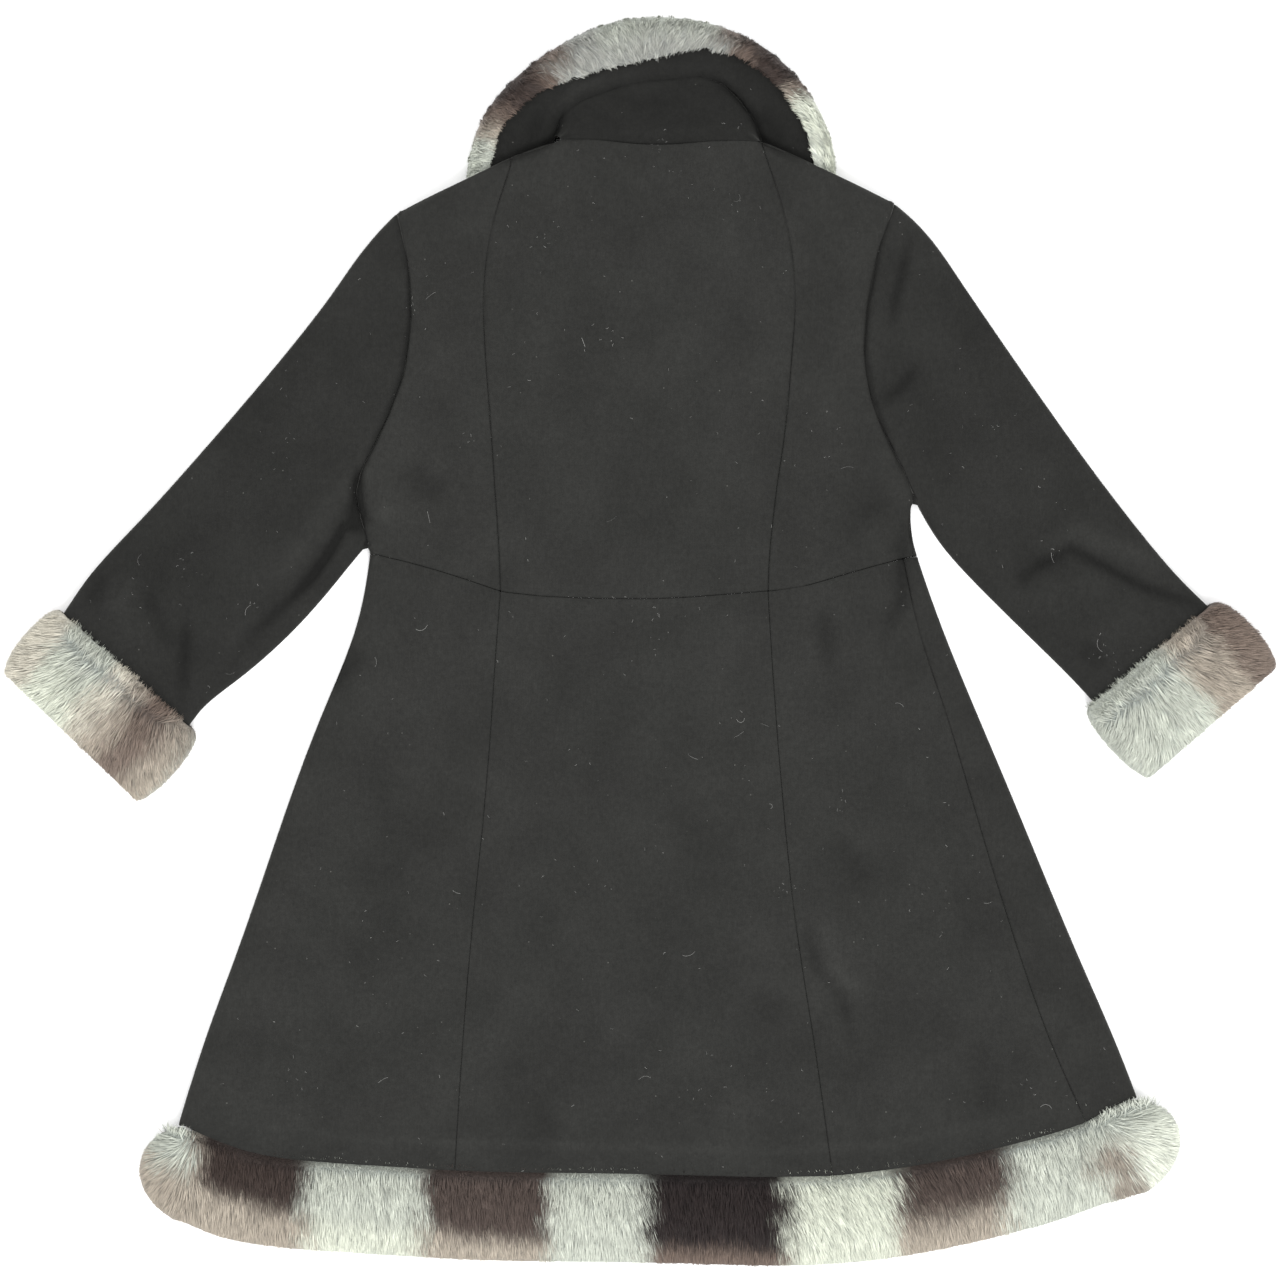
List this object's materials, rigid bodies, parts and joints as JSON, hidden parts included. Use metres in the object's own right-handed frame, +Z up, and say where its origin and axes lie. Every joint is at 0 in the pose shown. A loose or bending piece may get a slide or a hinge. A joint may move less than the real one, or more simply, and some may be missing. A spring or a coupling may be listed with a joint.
{
  "type": "princess coat",
  "caption": "Child's princess coat in dark wool, laid flat with its back up, with a waist seam, princess seams, a flared skirt, and deep striped fur at the collar, cuffs and hem.",
  "frame": {"origin": "on the surface that the coat lies on, under the middle of its bounding box", "axes": "+Z up, out of the back of the coat; +Y from the hem to the collar; +X to the right as the back is looked at"},
  "size_m": [0.7648, 0.7518, 0.0317],
  "materials": {
    "wool": "milled charcoal wool with a short soft nap",
    "fur": "long faux fur in pale grey with dark brown stripes"
  },
  "bodies": {
    "root": {"back_bodice_centre": "wool", "back_bodice_left": "wool", "back_bodice_right": "wool", "back_skirt_centre": "wool", "back_skirt_left": "wool", "back_skirt_right": "wool", "front_bodice_left": "wool", "front_bodice_right": "wool", "front_skirt_left": "wool", "front_skirt_right": "wool", "sleeve_left": "wool", "sleeve_right": "wool", "collar_stand": "wool", "collar_fall": "wool", "collar_fur": "fur", "cuff_fur_left": "fur", "cuff_fur_right": "fur", "hem_fur_back": "fur", "hem_fur_front_left": "fur", "hem_fur_front_right": "fur"}
  },
  "joints": []
}
